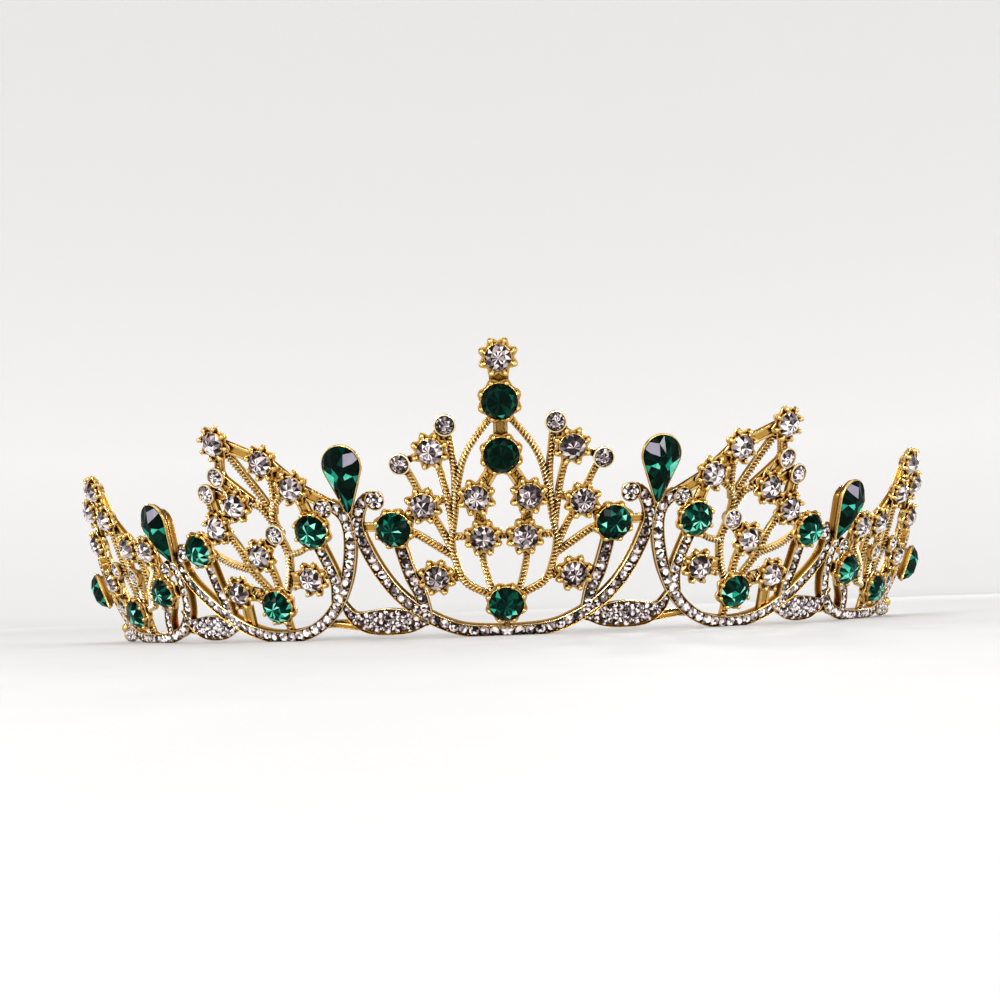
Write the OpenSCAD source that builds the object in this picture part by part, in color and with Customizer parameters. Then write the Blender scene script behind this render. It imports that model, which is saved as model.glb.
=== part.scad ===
// Bridal crown: an open, standing arc of five pierced medallions with emerald and clear stones.
// The wall is part of a flared cone. Every detail is laid out flat, as x along the wall and y up it,
// in millimetres from the foot of its own panel, and is then bent round the arc.
// Origin: middle of the front medallion's foot, on the table. +Z is up and -Y faces the viewer.

/* [Crown] */
// Radius of the lower edge
ring_r = 94; // [92:0.5:96]
// Outward lean of the wall, in degrees
flare = 20; // [18:0.5:22]
// Position of the side medallions round the arc, in degrees
side_deg = 28; // [28:0.1:28.2]
// Position of the outer medallions round the arc, in degrees
outer_deg = 52.5; // [52.4:0.1:52.6]

/* [Metal] */
// Width of a pave rim
rim_w = 2; // [1.9:0.1:2.2]
// Thickness of a pave rim
rim_t = 1.8; // [1.6:0.1:2]
// Diameter of the roped wires
rope_d = 1.3; // [1.2:0.1:1.4]
// Height of the plain links behind the leaves
link_h = 1.4; // [1:0.1:1.6]
// Thickness of the plain links behind the leaves
link_t = 0.8; // [0.7:0.1:1]
// Width of a leaf at its middle
leaf_w = 5.2; // [4.8:0.1:5.4]
// Width of the stem at each end of the crown
stem_w = 3; // [2.8:0.1:3.2]
// Diameter of the gold balls at the ends
ball_d = 2.4; // [2.2:0.1:2.6]
// Reach of the claws past an emerald
green_claw = 0.65; // [0.6:0.05:0.75]
// Reach of the claws past a clear stone
clear_claw = 1.1; // [1:0.05:1.15]

/* [Stones] */
// Diameter of the round emeralds
green_d = 6.3; // [6:0.1:6.4]
// Diameter of the clear stones held by claws
clear_d = 4.5; // [4.2:0.1:4.6]
// Diameter of the small clear stones in collars
small_d = 2.9; // [2.6:0.1:3]
// Width of the emerald pears
pear_w = 6.9; // [6.5:0.1:7]
// Length of the emerald pears
pear_l = 12; // [11.6:0.1:12.2]
// Clearance between a stone and its seat
gap = 0.12; // [0.1:0.01:0.15]

/* [Hidden] */
GOLD = "goldenrod";
EMERALD = "#0b5a45";
CRYSTAL = "#d8d2de";
rope_sides = 4;
stone_sides = 8;
foot = -0.85;        // underside of the cups and settings, out from the wall's middle surface
cup_taper = 0.8;     // width of a claw cup's foot as a share of its top
claw_h = 0.6;        // rise of the claws past the girdle
stone_table = 0.58;  // table of a round stone as a share of its diameter
collar_t = 0.34;     // wall of the collar round a small stone
pear_seat = 1;       // seat, girdle and crown of the pears
pear_girdle = 1.2;
pear_crown = 1.6;
pear_wall = 0.5;     // wall of a pear's setting
web_w = [-0.7, 0.4]; // back and face of the webs, out from the wall's middle surface
pear_table = 0.55;   // table of a pear as a share of its outline
pear_centre = 0.13;  // drop from the round end's centre to the table's, as a share of the length
tip_r = 0.4;         // rounding of a pear's tip
bud = 1.6;           // width of a rim's curled end as a share of the rim's
link_y = 2.9;        // height of the links' middle line up the wall

// Kinds of round stone: diameter, seat height, girdle height, crown height, claws, their reach
function kind(name) =
    name == "green" ? [green_d, 1.1, 0.6, 1.4, 6, green_claw] :
    name == "clear" ? [clear_d, 0.9, 0.5, 1.0, 4, clear_claw] :
                      [small_d, 0.8, 0.4, 0.5, 0, 0];

// Stones of the front medallion on its middle line: name, x, y, kind
FRONT_MIDDLE = [
    ["front_clear_top", 0, 50.8, "clear"],
    ["front_green_top", 0, 43.3, "green"],
    ["front_green_middle", 0, 33.9, "green"],
    ["front_green_foot", 0, 6.6, "green"],
];
// Stones of the front medallion's right half: name, x, y, kind
FRONT_PAIRS = [
    ["front_green_side", 19.4, 21.3, "green"],
    ["front_small_upper", 9.5, 39.5, "small"],
    ["front_clear_upper", 12.3, 35, "clear"],
    ["front_small_outer", 17.8, 33, "small"],
    ["front_clear_outer", 14, 25.2, "clear"],
    ["front_clear_inner", 4.6, 26.3, "clear"],
    ["front_clear_lower", 3.7, 18.9, "clear"],
    ["front_clear_foot", 12.2, 11.8, "clear"],
];
// Main stones of the right side medallion: name, x, y, kind
SIDE_PAIRS = [
    ["side_clear_top", 2.2, 39.5, "clear"],
    ["side_green_inner", -14.5, 21.7, "green"],
    ["side_green_foot", -3.5, 7.5, "green"],
    ["side_green_outer", 12.5, 19.5, "green"],
];
// Main stones of the right outer medallion: name, x, y, kind
OUTER_PAIRS = [
    ["outer_green_inner", -14.6, 11.4, "green"],
    ["outer_green_foot", 0.7, 7.2, "green"],
];
// Lesser stones of the right side medallion: x, y, kind
SIDE_FIELD = [
    [-7.3, 35, "clear"], [-12.3, 29.9, "clear"], [0.7, 27.5, "clear"], [6.4, 23.5, "clear"],
    [-2.1, 17.5, "clear"], [-11.9, 12.4, "clear"], [5, 10.4, "clear"],
    [3.6, 33.2, "small"], [7, 30.3, "small"], [-6.5, 21.4, "small"],
];
// Lesser stones of the right outer medallion: x, y, kind
OUTER_FIELD = [
    [2, 34.5, "clear"], [0.8, 28, "clear"], [8.3, 30.3, "clear"], [-5.5, 21.3, "clear"],
    [-13, 20.3, "clear"], [12.8, 23.2, "clear"], [11.2, 14.4, "clear"],
    [5.6, 17, "small"], [-3.2, 15, "small"], [10, 8.8, "small"],
];
// Pears on the right: name, panel angle, x and y of the round end's centre, outward lean
PEARS = [
    ["pear_front", 0, 28.1, 33.6, 0],
    ["pear_side", side_deg, 23.2, 26.2, 13],
    ["pear_end", outer_deg, 28.9, 13.8, 58],
];

// Middle lines of the rims, as x and y: front (right half), side and outer
FRONT_RIM = [[-1, 0.7], [7.5, 1.4], [13, 3.6], [16.8, 6.2], [20, 9.3], [22.6, 13], [24.7, 17],
    [26.3, 21.3], [26.1, 24.3], [24.6, 26.9], [22.8, 26.6]];
SIDE_RIM = [[-17.4, 25.6], [-19, 26], [-20.9, 24.2], [-21.4, 21], [-20.3, 16], [-18.2, 11],
    [-14.6, 5.8], [-9.8, 2.4], [-4.4, 1.1], [1, 1.4], [6.1, 3.1], [10.8, 6], [15, 9.5],
    [18.4, 13], [19.9, 16], [19.6, 18.6], [17.9, 19.2]];
OUTER_RIM = [[-17, 15.8], [-18.7, 16.9], [-20.4, 15.8], [-20.7, 13], [-20.2, 9.2], [-18.2, 5.4],
    [-14.2, 2.5], [-8, 1.2], [0, 1.1], [6.2, 1.5], [12, 3.8], [16.8, 7.3], [20.6, 11.2],
    [22.3, 14.8], [21.9, 17.8], [20, 18.6]];
// Short pave branches inside the rims
FRONT_BRANCH = [[18.5, 17.4], [17, 12.2], [15.4, 8.6], [14.6, 4.8]];
SIDE_BRANCH_IN = [[-14.9, 18.2], [-16, 14.2], [-16.5, 11.2], [-15.8, 7.6]];
SIDE_BRANCH_OUT = [[11.6, 16], [10.9, 12], [10, 8.6], [9.6, 5.4]];
OUTER_BRANCH = [[-13.2, 8.2], [-11.4, 6], [-10.4, 3.6], [-10.2, 1.6]];

// Roped wires of each medallion's right-hand drawing, as x and y from root to stone
FRONT_ROPES = [
    [[1.9, 40], [6, 34.5], [7.8, 29], [8.7, 22.4], [9.4, 18], [8.6, 13.6], [6.9, 10], [2, 7.4]],
    [[9.5, 39.5], [8.9, 35.6], [8.4, 30.5], [8.5, 24.6]],
    [[12.3, 35], [10.9, 31], [10, 27], [9.1, 20.7]],
    [[17.8, 33], [15.8, 29.4], [14, 25.2]],
    [[14, 25.2], [11.6, 21.3], [9.6, 17]],
    [[19.4, 21.3], [15.6, 19.6], [12, 17.2], [9.1, 15.2]],
    [[0, 33.9], [4.6, 26.3], [3.7, 18.9], [3.9, 14.6], [2.6, 9]],
    [[0, 18.9], [3.7, 18.9], [9, 18.9]],
    [[4.6, 26.3], [8.2, 26.3]],
    [[7.4, 11], [12.2, 11.8], [16.6, 11.8]],
    [[0, 6.6], [0, 1.4]],
];
SIDE_ROPES = [
    [[-3.5, 7.5], [-6.2, 11.6], [-7.5, 16.9], [-6.5, 21.4], [-6.7, 26.3], [-12.3, 29.9]],
    [[-6.6, 25], [-7.6, 30], [-7.3, 35]],
    [[-6.6, 25], [-3.2, 31], [2.2, 39.5]],
    [[-6.5, 22], [-3.6, 26.6], [0.7, 27.5]],
    [[-7.5, 16.9], [-11.3, 18], [-14.5, 21.7]],
    [[-3.5, 7.5], [-0.8, 10.8], [1.7, 14.3], [3.4, 18.7], [6.4, 23.5], [8, 27.2], [7, 30.3],
        [3.6, 33.2], [2.2, 39.5]],
    [[1.7, 14.3], [7.2, 16.2], [12.5, 19.5]],
    [[-3.5, 7.5], [-3.4, 12.4], [-2.1, 17.5]],
    [[-7, 10.6], [-11.9, 12.4], [-16.4, 12.6]],
    [[-0.5, 9.2], [5, 10.4], [10.4, 10.4]],
    [[-3.5, 7.5], [-4, 1.4]],
];
OUTER_ROPES = [
    [[0.7, 7.2], [-5.2, 8.2], [-6.5, 11.8], [-11, 15.8], [-13, 20.3]],
    [[-6, 10], [-14.6, 11.4]],
    [[-6.5, 11.8], [-6.6, 16.6], [-5.5, 21.3]],
    [[0.7, 7.2], [-1.8, 11.4], [-3.2, 15]],
    [[0.7, 7.2], [0.6, 13], [-0.6, 21], [0.8, 28], [2, 34.5]],
    [[0.7, 7.2], [2.6, 13], [3.4, 20], [3.6, 25.4], [8.3, 30.3]],
    [[2.8, 14], [5.6, 17]],
    [[8.3, 30.3], [11.4, 27.2], [12.8, 23.2], [13.4, 18.6], [11.2, 14.4], [10, 8.8], [9.6, 3]],
    [[0.7, 7.2], [0.4, 1.4]],
];

// Flat webs between neighbouring cups: x and y of both ends, and width
FRONT_WEBS = [
    [0, 50.8, 0, 43.3, 3.4], [0, 43.3, 0, 33.9, 2.2], [0, 33.9, 4.6, 26.3, 2.2],
    [12.2, 11.8, 7.8, 12, 2.2],
];
SIDE_WEBS = [
    [-7.3, 35, -12.3, 29.9, 2.2], [-12.3, 29.9, -18.4, 26, 1.8], [5, 10.4, 5.2, 2.8, 1.8],
];
OUTER_WEBS = [
    [0.8, 28, -5.5, 21.3, 1.8],
];

// Leaves between the medallions: panel angle, then x and y from one tip to the other
LEAVES = [
    [0, [[14.6, 3.2], [17.4, 3.4], [21.4, 3.6], [25.4, 3.6], [28.4, 4.6], [30.2, 7.2]]],
    [side_deg, [[8.4, 3.2], [11.4, 3.2], [15.2, 3.3], [18.8, 3.4], [21.6, 4.3], [23.4, 6.6]]],
];
LEAF_PROFILE = [0.25, 0.8, 1, 0.85, 0.45, 0.2];
// Stem at the end of the crown, and the two balls that finish it
STEM = [[10.4, 2.3], [14.4, 1.9], [18.6, 1.7], [22.6, 1.6]];
STEM_PROFILE = [0.8, 1, 0.95, 0.8];
BALLS = [[23.2, 1.5], [22.8, 3.3]];
// Links behind the leaves: from and to, in degrees round the arc
LINKS = [[7.2, 21.6], [31.4, 44.4]];

ENDS = ["right", "left"];
PAIRS = concat(FRONT_PAIRS, SIDE_PAIRS, OUTER_PAIRS, PEARS, [["side_stones"], ["outer_stones"]]);

// Radius and angle of the wall at a place, and the place itself: x along it, y up it, w out of it
function wall_r(y) = ring_r + y * sin(flare);
function wall_deg(panel, x, y) = panel + x / wall_r(y) * 180 / PI;
function on_wall(panel, x, y, w) =
    let (a = wall_deg(panel, x, y), r = wall_r(y) + w * cos(flare))
    [r * sin(a), ring_r - r * cos(a), y * cos(flare) - w * sin(flare)];

// Unit vector to the left of a path at its point i
function left_of(path, i) =
    let (d = path[min(i + 1, len(path) - 1)] - path[max(i - 1, 0)]) [-d[1], d[0]] / norm(d);

// Moves a flat detail to its place on the wall
module at_wall(panel, x, y, lean = 0) {
    translate(on_wall(panel, x, y, 0)) rotate([90 + flare, 0, wall_deg(panel, x, y)])
        rotate([0, 0, -lean]) children();
}

// Sweeps a cross-section, points of (sideways, outwards), along a path on the wall. widths scales
// its sideways part at each point of the path
module sweep(panel, path, section, widths = []) {
    m = len(section);
    last = len(path) - 1;
    rings = [for (i = [0 : last], q = section)
        let (s = left_of(path, i) * q[0] * (len(widths) > i ? widths[i] : 1))
        on_wall(panel, path[i][0] + s[0], path[i][1] + s[1], q[1])];
    sides = [for (i = [0 : last - 1], j = [0 : m - 1]) let (k = (j + 1) % m)
        [i * m + j, i * m + k, (i + 1) * m + k, (i + 1) * m + j]];
    ends = [[for (j = [m - 1 : -1 : 0]) j], [for (j = [0 : m - 1]) last * m + j]];
    polyhedron(rings, concat(sides, ends));
}
module band(panel, path, width, low, high, widths = []) {
    h = width / 2;
    sweep(panel, path, [[-h, low], [-h, high], [h, high], [h, low]], widths);
}
// Rim or branch, with the widths of its first and last points as shares of the rim's
module rim(panel, path, first = 1, end = 1) {
    widths = [for (i = [0 : len(path) - 1]) i == 0 ? first : i == len(path) - 1 ? end : 1];
    band(panel, path, rim_w, -rim_t / 2, rim_t / 2, widths);
}
module rope(panel, path) {
    section = [for (k = [0 : rope_sides - 1]) let (a = 90 - k * 360 / rope_sides)
        [cos(a), sin(a)] * rope_d / 2];
    sweep(panel, path, section);
}
module webs(panel, table) {
    for (s = table) band(panel, [[s[0], s[1]], [s[2], s[3]]], s[4], web_w[0], web_w[1]);
}
module link(from, to) {
    back = -rim_t / 2;
    path = [for (k = [0 : 3]) [(from + (to - from) * k / 3) * PI / 180 * wall_r(link_y), link_y]];
    band(0, path, link_h, back - link_t / 2, back + link_t / 2);
}

// Cup under a round stone. Its pocket, turned against the body, leaves a claw at each corner
module claw_cup(k) {
    claws = k[4];
    pocket = k[0] / 2 + gap;
    top = pocket + k[5];
    difference() {
        translate([0, 0, foot])
            cylinder(r1 = top * cup_taper, r2 = top, h = k[1] + k[2] + claw_h - foot, $fn = claws);
        translate([0, 0, k[1]]) rotate(180 / claws)
            cylinder(r = pocket / cos(180 / claws), h = top, $fn = claws);
    }
}
// Plain collar round a small stone
module collar_cup(k) {
    pocket = (k[0] / 2 + gap) / cos(30);
    difference() {
        translate([0, 0, foot])
            cylinder(r1 = pocket, r2 = pocket + collar_t, h = k[1] + k[2] - foot, $fn = 6);
        translate([0, 0, k[1]]) cylinder(r = pocket, h = pocket, $fn = 6);
    }
}
module cup(k) {
    if (k[4] > 0) claw_cup(k);
    else collar_cup(k);
}
module cups(panel, table, first) {
    for (s = table) at_wall(panel, s[first], s[first + 1]) cup(kind(s[first + 2]));
}

// Round stone with a table and a ring of facets, on the seat of its cup
module round_stone(k) {
    translate([0, 0, k[1] + gap]) {
        cylinder(d = k[0], h = k[2], $fn = stone_sides);
        translate([0, 0, k[2]])
            cylinder(d1 = k[0], d2 = k[0] * stone_table, h = k[3], $fn = stone_sides);
    }
}

// Outline of a pear, grown by a margin, with its round end at the origin and its tip below
module pear_outline(grow) {
    hull() {
        circle(pear_w / 2 + grow, $fn = 12);
        translate([0, pear_w / 2 + tip_r - pear_l]) circle(tip_r + grow, $fn = 4);
    }
}
module pear_setting() {
    difference() {
        translate([0, 0, foot]) linear_extrude(pear_seat + pear_girdle - foot)
            pear_outline(gap + pear_wall);
        translate([0, 0, pear_seat]) linear_extrude(pear_girdle + 1) pear_outline(gap);
    }
}
module pear_stone() {
    middle = -pear_l * pear_centre;
    translate([0, 0, pear_seat + gap]) {
        linear_extrude(pear_girdle) pear_outline(0);
        translate([0, middle, pear_girdle]) linear_extrude(pear_crown, scale = pear_table)
            translate([0, -middle]) pear_outline(0);
    }
}

// Everything of the frame that lies right of the middle, with the ropes of the middle line
module half_frame() {
    rim(0, FRONT_RIM, 1, bud);
    rim(0, FRONT_BRANCH);
    rim(side_deg, SIDE_RIM, bud, bud);
    rim(side_deg, SIDE_BRANCH_IN);
    rim(side_deg, SIDE_BRANCH_OUT);
    rim(outer_deg, OUTER_RIM, bud, bud);
    rim(outer_deg, OUTER_BRANCH);
    for (p = FRONT_ROPES) rope(0, p);
    for (p = SIDE_ROPES) rope(side_deg, p);
    for (p = OUTER_ROPES) rope(outer_deg, p);
    webs(0, FRONT_WEBS);
    webs(side_deg, SIDE_WEBS);
    webs(outer_deg, OUTER_WEBS);
    cups(0, FRONT_PAIRS, 1);
    cups(side_deg, SIDE_PAIRS, 1);
    cups(side_deg, SIDE_FIELD, 0);
    cups(outer_deg, OUTER_PAIRS, 1);
    cups(outer_deg, OUTER_FIELD, 0);
    for (p = PEARS) at_wall(p[1], p[2], p[3], p[4]) pear_setting();
    for (l = LEAVES) band(l[0], l[1], leaf_w, -rim_t / 4, rim_t / 2, LEAF_PROFILE);
    for (l = LINKS) link(l[0], l[1]);
    band(outer_deg, STEM, stem_w, -rim_t / 2, rim_t / 2, STEM_PROFILE);
    for (b = BALLS) at_wall(outer_deg, b[0], b[1]) sphere(d = ball_d, $fn = 8);
}
module gold_frame() {
    color(GOLD) difference() {
        union() {
            half_frame();
            mirror([1, 0, 0]) half_frame();
            cups(0, FRONT_MIDDLE, 1);
        }
        translate([-2 * ring_r, -ring_r, -ring_r]) cube([4 * ring_r, 4 * ring_r, ring_r]);
    }
}

// One end of the crown as drawn, and the other as its mirror image
module at_end(e) {
    if (e == "right") children();
    else mirror([1, 0, 0]) children();
}
module stone(panel, x, y, name) {
    color(name == "green" ? EMERALD : CRYSTAL) at_wall(panel, x, y) round_stone(kind(name));
}
module pear(p) {
    color(EMERALD) at_wall(p[1], p[2], p[3], p[4]) pear_stone();
}
module field(panel, table) {
    for (s = table) stone(panel, s[0], s[1], s[2]);
}

gold_frame();
for (s = FRONT_MIDDLE) stone(0, s[1], s[2], s[3]);
for (e = ENDS) {
    for (s = FRONT_PAIRS) at_end(e) stone(0, s[1], s[2], s[3]);
    for (s = SIDE_PAIRS) at_end(e) stone(side_deg, s[1], s[2], s[3]);
    for (s = OUTER_PAIRS) at_end(e) stone(outer_deg, s[1], s[2], s[3]);
    for (p = PEARS) at_end(e) pear(p);
    at_end(e) field(side_deg, SIDE_FIELD);
    at_end(e) field(outer_deg, OUTER_FIELD);
}
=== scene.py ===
import math
import random

import bpy
from mathutils import Matrix, Vector


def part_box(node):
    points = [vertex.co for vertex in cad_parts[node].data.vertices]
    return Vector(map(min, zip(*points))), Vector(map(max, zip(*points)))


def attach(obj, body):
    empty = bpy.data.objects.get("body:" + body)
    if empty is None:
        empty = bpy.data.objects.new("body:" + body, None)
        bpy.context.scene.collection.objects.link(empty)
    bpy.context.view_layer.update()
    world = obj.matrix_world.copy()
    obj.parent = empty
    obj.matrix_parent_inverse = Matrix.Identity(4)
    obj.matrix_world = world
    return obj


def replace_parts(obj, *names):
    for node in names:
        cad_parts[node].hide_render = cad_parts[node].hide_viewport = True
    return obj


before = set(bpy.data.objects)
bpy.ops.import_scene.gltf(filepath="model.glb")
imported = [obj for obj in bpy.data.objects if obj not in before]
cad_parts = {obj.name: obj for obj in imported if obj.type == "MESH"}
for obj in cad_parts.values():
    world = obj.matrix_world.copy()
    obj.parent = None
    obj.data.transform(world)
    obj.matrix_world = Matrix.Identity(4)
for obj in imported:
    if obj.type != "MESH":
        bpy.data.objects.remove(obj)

bl_info = {
    "name": "Bridal Crown",
    "version": (1, 0, 0),
    "blender": (4, 5, 0),
    "location": "View3D > Sidebar > Crown",
    "description": "Dresses an arc of pierced gold medallions with its ropes, cups, pave and cut stones",
    "category": "Add Mesh",
}

MM = 0.001
BODY = "root"
ENDS = ("right", "left")
MIRROR = Matrix.Scale(-1, 4, (1, 0, 0))
LIP = 0.17          # width of the lips at both sides of a pave band
LEAF_PAVE = 0.66    # size of the pave of the leaves and stems, as a share of the rims'

# Round stones with nodes of their own. Each node is named by its panel, its kind of stone and its
# place. First those of the front medallion's middle line: node, x, y
FRONT_MIDDLE = [("front_clear_top", 0, 50.8), ("front_green_top", 0, 43.3),
                ("front_green_middle", 0, 33.9), ("front_green_foot", 0, 6.6)]
# Those in pairs, as they lie in the right half: node, x, y
PAIRS = [
    ("front_green_side", 19.4, 21.3), ("front_small_upper", 9.5, 39.5), ("front_clear_upper", 12.3, 35),
    ("front_small_outer", 17.8, 33), ("front_clear_outer", 14, 25.2), ("front_clear_inner", 4.6, 26.3),
    ("front_clear_lower", 3.7, 18.9), ("front_clear_foot", 12.2, 11.8), ("side_clear_top", 2.2, 39.5),
    ("side_green_inner", -14.5, 21.7), ("side_green_foot", -3.5, 7.5), ("side_green_outer", 12.5, 19.5),
    ("outer_green_inner", -14.6, 11.4), ("outer_green_foot", 0.7, 7.2),
]
# Lesser stones of the side and outer medallions, where those of each medallion are one node: x, y
FIELDS = {
    "side": {"clear": [(-7.3, 35), (-12.3, 29.9), (0.7, 27.5), (6.4, 23.5), (-2.1, 17.5), (-11.9, 12.4),
                       (5, 10.4)],
             "small": [(3.6, 33.2), (7, 30.3), (-6.5, 21.4)]},
    "outer": {"clear": [(2, 34.5), (0.8, 28), (8.3, 30.3), (-5.5, 21.3), (-13, 20.3), (12.8, 23.2),
                        (11.2, 14.4)],
              "small": [(5.6, 17), (-3.2, 15), (10, 8.8)]},
}
# Pears: panel, node, x and y of the round end's centre, outward lean in degrees
PEARS = [
    ("front", "pear_front", 28.1, 33.6, 0),
    ("side", "pear_side", 23.2, 26.2, 13),
    ("outer", "pear_end", 28.9, 13.8, 58),
]
# Middle lines of the pave bands: panel, then x and y along each
RIMS = [
    ("front", [(-0.5, 0.95), (7.5, 1.5), (13, 3.6), (16.8, 6.2), (20, 9.3), (22.6, 13), (24.7, 17),
               (26.3, 21.3), (26.1, 24.3), (24.6, 26.9), (22.8, 26.6)]),
    ("front", [(18.5, 17.4), (17, 12.2), (15.4, 8.6), (14.6, 4.8)]),
    ("side", [(-17.4, 25.6), (-19, 26), (-20.9, 24.2), (-21.4, 21), (-20.3, 16), (-18.2, 11),
              (-14.6, 5.8), (-9.8, 2.4), (-4.4, 1.1), (1, 1.4), (6.1, 3.1), (10.8, 6), (15, 9.5),
              (18.4, 13), (19.9, 16), (19.6, 18.6), (17.9, 19.2)]),
    ("side", [(-14.9, 18.2), (-16, 14.2), (-16.5, 11.2), (-15.8, 7.6)]),
    ("side", [(11.6, 16), (10.9, 12), (10, 8.6), (9.6, 5.4)]),
    ("outer", [(-17, 15.8), (-18.7, 16.9), (-20.4, 15.8), (-20.7, 13), (-20.2, 9.2), (-18.2, 5.4),
               (-14.2, 2.5), (-8, 1.2), (0, 1.1), (6.2, 1.5), (12, 3.8), (16.8, 7.3), (20.6, 11.2),
               (22.3, 14.8), (21.9, 17.8), (20, 18.6)]),
    ("outer", [(-13.2, 8.2), (-11.4, 6), (-10.4, 3.6), (-10.2, 1.6)]),
]
# Roped wires of each panel, as x and y from root to stone
ROPES = {
    "front": [
        [(1.9, 40), (6, 34.5), (7.8, 29), (8.7, 22.4), (9.4, 18), (8.6, 13.6), (6.9, 10), (2, 7.4)],
        [(9.5, 39.5), (8.9, 35.6), (8.4, 30.5), (8.5, 24.6)],
        [(12.3, 35), (10.9, 31), (10, 27), (9.1, 20.7)],
        [(17.8, 33), (15.8, 29.4), (14, 25.2)],
        [(14, 25.2), (11.6, 21.3), (9.6, 17)],
        [(19.4, 21.3), (15.6, 19.6), (12, 17.2), (9.1, 15.2)],
        [(0, 33.9), (4.6, 26.3), (3.7, 18.9), (3.9, 14.6), (2.6, 9)],
        [(0, 18.9), (3.7, 18.9), (9, 18.9)],
        [(4.6, 26.3), (8.2, 26.3)],
        [(7.4, 11), (12.2, 11.8), (16.6, 11.8)],
        [(0, 6.6), (0, 1.4)],
    ],
    "side": [
        [(-3.5, 7.5), (-6.2, 11.6), (-7.5, 16.9), (-6.5, 21.4), (-6.7, 26.3), (-12.3, 29.9)],
        [(-6.6, 25), (-7.6, 30), (-7.3, 35)],
        [(-6.6, 25), (-3.2, 31), (2.2, 39.5)],
        [(-6.5, 22), (-3.6, 26.6), (0.7, 27.5)],
        [(-7.5, 16.9), (-11.3, 18), (-14.5, 21.7)],
        [(-3.5, 7.5), (-0.8, 10.8), (1.7, 14.3), (3.4, 18.7), (6.4, 23.5), (8, 27.2), (7, 30.3),
         (3.6, 33.2), (2.2, 39.5)],
        [(1.7, 14.3), (7.2, 16.2), (12.5, 19.5)],
        [(-3.5, 7.5), (-3.4, 12.4), (-2.1, 17.5)],
        [(-7, 10.6), (-11.9, 12.4), (-16.4, 12.6)],
        [(-0.5, 9.2), (5, 10.4), (10.4, 10.4)],
        [(-3.5, 7.5), (-4, 1.4)],
    ],
    "outer": [
        [(0.7, 7.2), (-5.2, 8.2), (-6.5, 11.8), (-11, 15.8), (-13, 20.3)],
        [(-6, 10), (-14.6, 11.4)],
        [(-6.5, 11.8), (-6.6, 16.6), (-5.5, 21.3)],
        [(0.7, 7.2), (-1.8, 11.4), (-3.2, 15)],
        [(0.7, 7.2), (0.6, 13), (-0.6, 21), (0.8, 28), (2, 34.5)],
        [(0.7, 7.2), (2.6, 13), (3.4, 20), (3.6, 25.4), (8.3, 30.3)],
        [(2.8, 14), (5.6, 17)],
        [(8.3, 30.3), (11.4, 27.2), (12.8, 23.2), (13.4, 18.6), (11.2, 14.4), (10, 8.8), (9.6, 3)],
        [(0.7, 7.2), (0.4, 1.4)],
    ],
}
# Flat webs between neighbouring cups and rims: x and y of both ends, and width
WEBS = {
    "front": [
        (0, 50.8, 0, 43.3, 3.4), (0, 43.3, 0, 33.9, 2.5), (9.5, 39.5, 12.3, 35, 2.5),
        (12.3, 35, 17.8, 33, 1.3), (0, 33.9, 4.6, 26.3, 2.5), (4.6, 26.3, 8.4, 25.6, 2.3),
        (4.6, 26.3, 3.7, 18.9, 2.1), (14, 25.2, 19.4, 21.3, 2.1), (14, 25.2, 9.2, 26.2, 1.5),
        (19.4, 21.3, 25.8, 21.6, 1.6), (12.2, 11.8, 7.8, 12, 2.5), (12.2, 11.8, 16.4, 11.8, 2.1),
        (27, 2.3, 33.8, 3.3, 1),
    ],
    "side": [
        (2.2, 39.5, 3.6, 33.2, 1.6), (2.2, 39.5, -7.3, 35, 2.2), (-7.3, 35, -12.3, 29.9, 3),
        (-12.3, 29.9, -18.4, 26, 2.4), (-12.3, 29.9, -14.5, 21.7, 2.2), (3.6, 33.2, -2.6, 27.6, 1.8),
        (3.6, 33.2, 0.7, 27.5, 2.7), (7, 30.3, 6.4, 23.5, 1.6), (7, 30.3, 0.7, 27.5, 1.9),
        (0.7, 27.5, 6.4, 23.5, 2.2), (6.4, 23.5, 12.5, 19.5, 1.9), (-2.1, 17.5, -6.5, 21.4, 2.4),
        (-11.9, 12.4, -7.4, 12.6, 2.4), (5, 10.4, 5.2, 2.8, 2.4), (5, 10.4, 0.8, 9.4, 2.7),
        (20, 2.2, 26.4, 3.1, 1.2),
    ],
    "outer": [
        (2, 34.5, 0.8, 28, 2.2), (0.8, 28, 8.3, 30.3, 2.2), (8.3, 30.3, 12.8, 23.2, 1.9),
        (0.8, 28, -5.5, 21.3, 2.4), (-5.5, 21.3, -13, 20.3, 2.4), (-13, 20.3, -14.6, 11.4, 2.2),
        (-14.6, 11.4, -19.8, 11.6, 1.9), (-3.2, 15, 5.6, 17, 2.2), (5.6, 17, 11.2, 14.4, 2.2),
        (0.7, 7.2, 10, 8.8, 1.9), (11.2, 14.4, 18, 9.2, 1.8),
    ],
}
# Round buds that end the rims, as panel, x and y
BUDS = [("front", 22.8, 26.6), ("side", -17.4, 25.6), ("side", 17.9, 19.2), ("outer", -17, 15.8),
        ("outer", 20, 18.6)]
# Leaves and end stem: panel, then x, y and share of the full width from tip to tip
LEAVES = [
    ("front", [(14.6, 3.2, 0.25), (17.4, 3.4, 0.8), (21.4, 3.6, 1), (25.4, 3.6, 0.85),
               (28.4, 4.6, 0.45), (30.2, 7.2, 0.2)]),
    ("side", [(8.4, 3.2, 0.25), (11.4, 3.2, 0.8), (15.2, 3.3, 1), (18.8, 3.4, 0.85),
              (21.6, 4.3, 0.45), (23.4, 6.6, 0.2)]),
]
STEM = [(10.4, 2.3, 0.8), (14.4, 1.9, 1), (18.6, 1.7, 0.95), (22.6, 1.6, 0.8)]
BALLS = [(23.2, 1.5), (22.8, 3.3)]
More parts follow.
